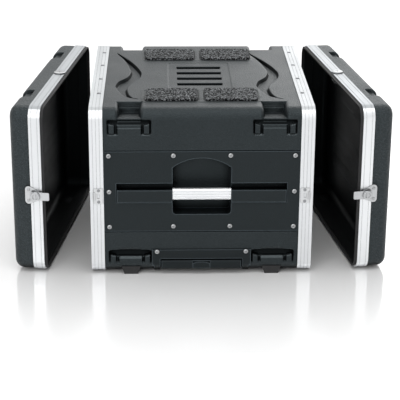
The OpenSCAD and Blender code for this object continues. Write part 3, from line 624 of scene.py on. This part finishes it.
    # inner skin, in the dark inside plastic as painted shade
    ys2 = uniq(np.arange(-YA, YA, 16.0), [-237.9, 216, -205, -209.5, -222, 225, 209.5, 222], gap=1.5, ends=(-YA, YA))
    zs2 = uniq(np.arange(ZC - ZA, ZC + ZA, 18.0), [132, 268.5, 162, 218, 52.5, 56, 318, 322, 62, 66], gap=1.5, ends=(ZC - ZA, ZC + ZA))
    xp2 = np.array([0, 20, 40, 58, 62, 73, 90, 104.5, 108, 124, 128, 131, 154, 177, 182, 186, 190, 203, 207, 225])
    xs2 = uniq(xp2, -xp2, gap=0.9, ends=(-225, 225))
    P2, N2, F2, Q2 = perimeter(PROUD + WALL, ys2, zs2, 8)
    P2 = P2.copy()
    n2x, n2s = len(xs2), len(P2)
    o2 = np.ones((n2x, 1))
    X2 = xs2[:, None] * np.ones((1, n2s))
    a2, f2, q2 = np.abs(X2), o2 * F2, o2 * Q2
    D2 = np.zeros_like(X2)
    s2, t2 = (f2 == 1) | (f2 == 3), f2 == 0
    D2 = np.where(s2 & (q2 > 319) , -9.5 * band(a2, 105, 206, 1.5), D2)
    D2 = np.where(s2 & (q2 < 64), -9.5 * band(a2, 105, 206, 1.5), D2)
    D2 = np.where(t2 & (np.abs(q2) > 207), -20.5 * band(a2, 125, 184, 1.5) * np.where(np.abs(q2) > 221, 1, 0.5), D2)
    D2 = np.where(t2 & (np.abs(q2) < 206), np.minimum(D2, -7.2 * band(a2, 110, 205, 1.5)), D2)
    D2 = np.where(t2 & (np.abs(q2) < 113), np.minimum(D2, -6.4 * (a2 < 60)), D2)
    rr2 = CORNER - PROUD - WALL
    for fid in (4, 7):
        th = np.radians(np.where(f2 == fid, q2, 45))
        up = np.cos(th) if fid == 4 else np.sin(th)
        D2 = np.where(f2 == fid, -band(a2, 125, 184, 1.5) * np.clip(rr2 - 0.5 / np.maximum(up, 1e-3), 0, 20.5), D2)
    V2 = np.stack([X2, o2 * P2[:, 0] + o2 * N2[:, 0] * D2, o2 * P2[:, 1] + o2 * N2[:, 1] * D2], -1)
    base = 2 * n
    verts.append(V2.reshape(-1, 3))
    inner = grid_faces(n2x, n2s, openings(xs2, P2, F2), base, True)
    faces += inner
    fm += [1] * len(inner)
    ob = make("case_moulding", to_row(np.concatenate(verts)), faces, [M["shell"], M["inner"], M["groove"], M["ridge"]], "case", ("case_shell",), face_mats=fm, recalc=False)
    weighted(ob)
    return ob


LOUVRES = (-78, -33, 12, 57)
shell = build_shell()


# ------------------------------------------------------------------ lid shells
def lid_skin(t, er, x0, x1, xs_n, ys, zs, rings, end_fn, side_fn):
    """Swept side, rounded edge and end face as one grid. Returns verts and faces, and the index of the rim ring."""
    r = CORNER - t
    P, N, F, Q = perimeter(t, ys, zs)
    ns = len(P)
    V, Fc = [], []
    rows = []
    xs = xs_n
    for x in xs:
        d = side_fn(x, 0.0, P, F, Q)
        rows.append(np.stack([np.full(ns, x), P[:, 0] + N[:, 0] * d, P[:, 1] + N[:, 1] * d], 1))
    cx = x1 - er
    for k in range(1, rings + 1):
        ph = math.radians(90.0 * k / rings)
        dl = er * (1 - math.cos(ph))
        xr = cx + er * math.sin(ph)
        Pk = P - N * dl
        nx_, nn = math.sin(ph), math.cos(ph)
        d = side_fn(xr, 90.0 * k / rings, P, F, Q)
        ex = end_fn(Pk[:, 0], Pk[:, 1]) * (k / rings) ** 3
        rows.append(np.stack([xr + nx_ * d + ex, Pk[:, 0] + N[:, 0] * nn * d, Pk[:, 1] + N[:, 1] * nn * d], 1))
    for dl in (er + (r - er) * 0.5, r - 0.02):
        Pk = P - N * dl
        ex = end_fn(Pk[:, 0], Pk[:, 1])
        rows.append(np.stack([np.full(ns, x1) + ex, Pk[:, 0], Pk[:, 1]], 1))
    V = np.concatenate(rows)
    n = len(rows)
    for i in range(n - 1):
        for j in range(ns):
            a, b = i * ns + j, i * ns + (j + 1) % ns
            Fc.append((a, b, b + ns, a + ns))
    base = len(V)
    yi = ys * 1.0
    zi = zs * 1.0
    gy = np.clip(yi, -(HD - t - r), HD - t - r)
    gz = np.clip(zi, ZC - (H / 2 - t - r), ZC + (H / 2 - t - r))
    Y, Z = np.meshgrid(gy, gz, indexing="ij")
    G = np.stack([x1 + end_fn(Y, Z), Y, Z], -1).reshape(-1, 3)
    ny, nz = len(gy), len(gz)
    # interior grid shares its border with the last ring
    last = (n - 1) * ns
    ring_idx = {}
    j = 0
    for k in range(ny):
        ring_idx[(ny - 1 - k, nz - 1)] = last + j; j += 1
    j += NARC - 1
    for k in range(nz):
        ring_idx.setdefault((0, nz - 1 - k), last + j); j += 1
    j += NARC - 1
    for k in range(ny):
        ring_idx.setdefault((k, 0), last + j); j += 1
    j += NARC - 1
    for k in range(nz):
        ring_idx.setdefault((ny - 1, k), last + j); j += 1
    g = np.empty((ny, nz), int)
    for a in range(ny):
        for b in range(nz):
            g[a, b] = ring_idx.get((a, b), base + a * nz + b)
    for a in range(ny - 1):
        for b in range(nz - 1):
            Fc.append((g[a, b], g[a + 1, b], g[a + 1, b + 1], g[a, b + 1]))
    return np.concatenate([V, G]), Fc, ns


LID_YS = (-160.0, 160.0)


def build_lid(side):
    word = "right" if side > 0 else "left"
    x1 = HW + LID_T
    feat = [s * v for v in (135, 185, 60) for s in (1, -1)]
    ys = lines(-YA, YA, 10, *feat, -206, 206, -100, 100)
    zs = lines(ZC - ZA, ZC + ZA, 10, 92, 120, 268, 296, ZC - 60, ZC + 60, 330, bev=1.6)

    def end_out(Y, Z):
        # broad raised field, two long stacking ribs, and the notches' lower ends
        e = 1.6 * band(Y, -206, 206, 3) * band(Z, 60, 326, 3)
        for zc in (106, 282):
            e = e + 2.2 * band(Y, -185, 185, 3.5) * band(Z, zc - 14, zc + 14, 3.5)
        e = e - 1.4 * band(Y, -100, 100, 2) * band(Z, ZC - 45, ZC + 45, 2)
        for yc in LID_YS:
            e = e - (8.0 + e) * band(Y, yc - 25, yc + 25, 0.8) * sstep(Z, 355, 0.8)
        return e

    def side_out(x, ph, P, F, Q):
        d = np.zeros(len(P))
        if x > HW + 39:
            u = sstep(np.array([x]), HW + 40, 0.6)[0]
            nb = sum(band(np.where(F == 0, Q, 999), yc - 25, yc + 25, 0.6) for yc in LID_YS)
            if ph <= 0:
                deep = 8.0
            else:
                s_, c_ = math.sin(math.radians(90 - ph)), math.cos(math.radians(90 - ph))
                deep = LID_ER - min((LID_ER - 8) / max(s_, 1e-3), (LID_ER - 8) / max(c_, 1e-3))
                deep = max(deep, 0)
            d = d - nb * deep * u
        return d

    xs = list(lines(HW + 11, x1 - LID_ER, 8, HW + 26, HW + 40))
    Vo, Fo, ns = lid_skin(PROUD, LID_ER, HW + 11, x1, xs, ys, zs, 9, end_out, side_out)

    def end_in(Y, Z):
        e = np.zeros_like(Y)
        for zc in (106, 282):
            e = e + 1.6 * band(Y, -185, 185, 3.5) * band(Z, zc - 12, zc + 12, 3.5)
        e = e - 1.2 * (band(Y, -185, 185, 2) * (band(Z, 150, 156, 1.2) + band(Z, 176, 182, 1.2) + band(Z, 206, 212, 1.2)))
        for yc in LID_YS:
            e = e - (8.0 + e) * band(Y, yc - 30, yc + 30, 0.8) * sstep(Z, 350, 0.8)
        return e

    def side_in(x, ph, P, F, Q):
        d = np.zeros(len(P))
        if x > HW + 33:
            u = sstep(np.array([x]), HW + 34, 0.6)[0]
            nb = sum(band(np.where(F == 0, Q, 999), yc - 30, yc + 30, 0.6) for yc in LID_YS)
            er = LID_ER - WALL
            if ph <= 0:
                deep = 8.0
            else:
                s_, c_ = math.sin(math.radians(90 - ph)), math.cos(math.radians(90 - ph))
                deep = max(er - min((er - 8) / max(s_, 1e-3), (er - 8) / max(c_, 1e-3)), 0)
            d = d - nb * deep * u
            # bosses over the feet
            fb = sum(band(np.where(F == 2, Q, 999), yc - 22, yc + 22, 0.8) for yc in LID_YS)
            if ph <= 0:
                d = d - fb * 3.0 * u
        return d

    Vi, Fi, nsi = lid_skin(PROUD + WALL, LID_ER - WALL, HW + 11, x1 - WALL, xs, ys, zs, 9, end_in, side_in)
    off = len(Vo)
    verts = np.concatenate([Vo, Vi])
    faces = list(Fo) + [tuple(v + off for v in reversed(f)) for f in Fi]
    # the inner skin takes the dark inside plastic as painted shade
    fm = [0] * len(Fo) + [1] * len(Fi)
    for j in range(ns):
        a, b = j, (j + 1) % ns
        faces.append((a, a + off, b + off, b)); fm.append(0)
    ob = make(word + "_lid_moulding", to_row(verts, side), faces, [M["lid"], M["inner"]], word + "_lid", (word + "_lid_shell",), flip=side < 0, face_mats=fm)
    weighted(ob)
    return ob


lids = [build_lid(-1), build_lid(1)]


# ------------------------------------------------------------------ pads
def build_pads():
    V, Fc = [], []

    def loop(x0, x1, y0, y1, slant, inset, z, r=9.0):
        # rounded trapezoid: the outer end leans in towards the far side
        c = [(x0 + inset, y0 + inset), (x1 - inset, y0 + inset), (x1 - inset - slant, y1 - inset), (x0 + inset, y1 - inset)]
        rr = max(r - inset, 2.0)
        pts = []
        for k in range(4):
            p, a, b = Vector(c[k]), Vector(c[k - 1]), Vector(c[(k + 1) % 4])
            da, db = (a - p).normalized(), (b - p).normalized()
            s, e_ = p + da * rr, p + db * rr
            for t in np.linspace(0, 1, 9):
                q = s * (1 - t) ** 2 + p * 2 * t * (1 - t) + e_ * t * t
                pts.append((q.x, q.y, z))
        return pts

    for sx in (-1, 1):
        for (y0, y1, slant) in ((-213, -129, 4.0), (118, 203, -4.0)):
            prof = [(0.6, 378.2), (0.0, 379.4), (0.0, 382.0), (0.5, 382.9), (1.6, 383.4), (3.2, 383.5), (3.9, 383.1), (4.6, 383.0)]
            n0 = len(V)
            for inset, z in prof:
                V += [(sx * x, y, z) for x, y, z in loop(8, 122, y0, y1, slant, inset, z)]
            m = 36
            for i in range(len(prof) - 1):
                for j in range(m):
                    a, b = n0 + i * m + j, n0 + i * m + (j + 1) % m
                    Fc.append((a, b, b + m, a + m))
            Fc.append(tuple(n0 + j for j in range(m)))
            # crowned, gridded top
            top0 = n0 + (len(prof) - 1) * m
            cen = np.mean(V[top0 : top0 + m], axis=0)
            rings = [0.8, 0.55, 0.25]
            prev = top0
            for f in rings:
                s0 = len(V)
                for j in range(m):
                    p = np.array(V[top0 + j])
                    q = cen + (p - cen) * f
                    V.append((q[0], q[1], 383.0 + 0.25 * (1 - f)))
                for j in range(m):
                    a, b = prev + j, prev + (j + 1) % m
                    Fc.append((a, b, s0 + (j + 1) % m, s0 + j))
                prev = s0
            V.append((cen[0], cen[1], 383.2))
            for j in range(m):
                Fc.append((prev + j, prev + (j + 1) % m, len(V) - 1))
    ob = make("top_pad_set", to_row(V), Fc, [M["pad"]], "case", ("top_pads",))
    weighted(ob)
    return ob


build_pads()

# ------------------------------------------------------------------ CAD nodes that stay
LOOK = {}
for n in NODES:
    k = "block"
    if n.endswith("_valance"):
        k = {"left_lid_valance": "valance_l", "right_lid_valance": "valance_r"}.get(n, "valance")
    elif n in ("left_seal", "right_seal", "feet", "left_lid_lip", "right_lid_lip", "left_lid_feet", "right_lid_feet"):
        k = "rubber"
    elif n.endswith("_panel") or n == "grip_ends":
        k = "panel"
    elif n.endswith("_grip") and n != "tow_grip":
        k = "grip"
    elif n.endswith("_tubes"):
        k = "tube"
    elif n.endswith("_rails"):
        k = "rail"
    elif n.endswith("_tyre"):
        k = "tyre"
    elif n.endswith(("_screws", "_nuts", "_nut", "_rivets", "_plug", "_catches", "_lock_body")) or n == "axles":
        k = "zinc"
    elif n == "latch_keepers":
        k = "keeper"
    if n == "case_rivets":
        k = "rivet"
    elif n.endswith(("_hook", "_wing", "_plates")):
        k = "latch"
    LOOK[n] = k
BEVEL = {"case_rivets": 0.12, "panel_screws": 0.15, "foot_screws": 0.15, "panel_nuts": 0.25, "near_panel": 1.1, "far_panel": 1.1, "grip_ends": 1.7, "tow_frame": 0.9, "tow_grip": 1.2, "tow_button": 0.8, "feet": 1.0}


def inset_of(P, side=0):
    """How far points in the row frame lie inside the case outline, in mm; side 1 or -1 for a lid's nodes."""
    P = P * 1000.0 - np.array([0, YO, 0])
    y = P[:, 1]
    if side:
        x = side * P[:, 0] - HW
        dy = P[:, 1] - PIVOT_Y
        y = PIVOT_Y - x * math.sin(OPEN) + dy * math.cos(OPEN)
    return -rrect(y, P[:, 2], -HD, HD, BASE, ZT, CORNER)


def shade_top_faces(ob, look):
    """Gives the upward faces of an edging a darker copy of the aluminium, as painted shade."""
    me = ob.data
    n = len(me.polygons)
    nrm = np.empty(n * 3)
    me.polygons.foreach_get("normal", nrm)
    idx = np.empty(n, dtype=np.int32)
    me.polygons.foreach_get("material_index", idx)
    nz = (nrm.reshape(-1, 3) @ np.array(ob.matrix_world)[:3, :3].T)[:, 2]
    me.materials.append(M[look])
    new = len(me.materials) - 1
    me.polygons.foreach_set("material_index", np.where((nz > 0.8) & (idx == 0), new, idx).astype(np.int32))


def shade_inside_faces(ob, side):
    """Gives the faces of an edging that look into the case the dark inside plastic, as painted shade."""
    me = ob.data
    n = len(me.polygons)
    c = np.empty(n * 3)
    me.polygons.foreach_get("center", c)
    c = c.reshape(-1, 3)
    M4 = np.array(ob.matrix_world)
    c = c @ M4[:3, :3].T + M4[:3, 3]
    t = inset_of(c, side)
    me.materials.append(M["inner"])
    me.polygons.foreach_set("material_index", (t > 7.3).astype(np.int32))

for n, ob in NODES.items():
    if n in ("case_shell", "left_lid_shell", "right_lid_shell", "top_pads"):
        continue
    ob.data.materials.clear()
    ob.data.materials.append(M[LOOK[n]])
    for p in ob.data.polygons:
        p.material_index = 0
    if n.endswith("_valance"):
        shade_inside_faces(ob, {"left_lid_valance": -1, "right_lid_valance": 1}.get(n, 0))
        shade_top_faces(ob, "valance_top_lid" if "lid" in n else "valance_top")
    if "custom_normal" in ob.data.attributes:
        ob.data.attributes.remove(ob.data.attributes["custom_normal"])
    w = ob.modifiers.new("weld", "WELD")
    w.merge_threshold = 1e-5
    d = ob.modifiers.new("flats", "DECIMATE")
    d.decimate_type = "DISSOLVE"
    d.angle_limit = math.radians(0.4)
    b = ob.modifiers.new("edge", "BEVEL")
    b.width = BEVEL.get(n, 0.35) / 1000
    b.segments = 2
    b.limit_method = "ANGLE"
    b.angle_limit = math.radians(40)
    b.harden_normals = True
    b.use_clamp_overlap = True
    ob.data.shade_smooth()


# ------------------------------------------------------------------ stage
def area(name, loc, target, size, power, color=(1, 1, 1), size_y=None):
    li = bpy.data.lights.new(name, "AREA")
    li.energy = power
    li.color = color
    li.shape = "RECTANGLE"
    li.size = size
    li.size_y = size_y or size
    ob = bpy.data.objects.new(name, li)
    ob.location = loc
    ob.rotation_euler = (Vector(target) - Vector(loc)).to_track_quat("-Z", "Y").to_euler()
    scene.collection.objects.link(ob)
    return ob


def floor():
    me = bpy.data.meshes.new("studio_floor")
    s = 14
    me.from_pydata([(-s, -s, 0), (s, -s, 0), (s, s, 0), (-s, s, 0)], [], [(0, 1, 2, 3)])
    ob = bpy.data.objects.new("studio_floor", me)
    m, nt, bs = new_mat("pale_floor")
    bs.inputs["Base Color"].default_value = (0.9, 0.9, 0.9, 1)
    bs.inputs["Roughness"].default_value = 0.5
    bs.inputs["Specular IOR Level"].default_value = 0.2
    tc = node(nt, "ShaderNodeTexCoord")
    sep = node(nt, "ShaderNodeSeparateXYZ")
    link(nt, tc.outputs["Object"], sep.inputs[0])
    front = maprange(nt, sep.outputs["Y"], -0.8, -0.3, 0.0, 1.0)
    behind = maprange(nt, sep.outputs["Y"], 0.3, 0.9, 1.0, 0.0)
    polish = node(nt, "ShaderNodeMath", operation="MULTIPLY")
    link(nt, front.outputs[0], polish.inputs[0])
    link(nt, behind.outputs[0], polish.inputs[1])
    haze = maprange(nt, sep.outputs["Y"], -0.7, -0.3, 0.3, 0.05)
    link(nt, polish.outputs[0], bs.inputs["Coat Weight"])
    link(nt, haze.outputs[0], bs.inputs["Coat Roughness"])
    bs.inputs["Coat IOR"].default_value = 3.1
    me.materials.append(m)
    scene.collection.objects.link(ob)
    return ob


floor()
world = bpy.data.worlds.new("studio")
world.use_nodes = True
world.node_tree.nodes["Background"].inputs[0].default_value = (1, 1, 1, 1)
world.node_tree.nodes["Background"].inputs[1].default_value = 0.86
scene.world = world
area("back_soft", (1.6, 3.4, 1.5), (0, 0, 0.25), 2.6, 26, size_y=2.0)
area("top_soft", (0.2, -0.2, 3.2), (0, 0, 0), 2.6, 17)
area("key_strip", (0.1, -1.25, 2.7), (0, -0.1, 0.2), 1.9, 15, size_y=0.45)
area("front_soft", (-1.6, -3.8, 2.2), (0, 0, 0.2), 2.0, 50)
area("back_floor", (0, 3.4, 2.8), (0, 3.0, 0), 3.6, 46, size_y=2.0)

cam = bpy.data.cameras.new("photo_camera")
cam.sensor_width = 36
cam.lens = 1411.7 / 400 * 36
cam.clip_end = 60
co = bpy.data.objects.new("photo_camera", cam)
yaw, pitch, roll = 0.0302, 0.3652, 0.006
Fv = Vector((math.sin(yaw) * math.cos(pitch), math.cos(yaw) * math.cos(pitch), -math.sin(pitch)))
Rv = Vector((math.cos(yaw), -math.sin(yaw), 0))
Uv = Rv.cross(Fv)
R2 = Rv * math.cos(roll) + Uv * math.sin(roll)
U2 = -Rv * math.sin(roll) + Uv * math.cos(roll)
mat = Matrix((R2, U2, -Fv)).transposed().to_4x4()
mat.translation = Vector((-0.0897, -2.8401 - 0.2804, 1.2607))
co.matrix_world = mat
scene.collection.objects.link(co)
scene.camera = co
scene.view_settings.view_transform = "Standard"
scene.view_settings.look = "None"
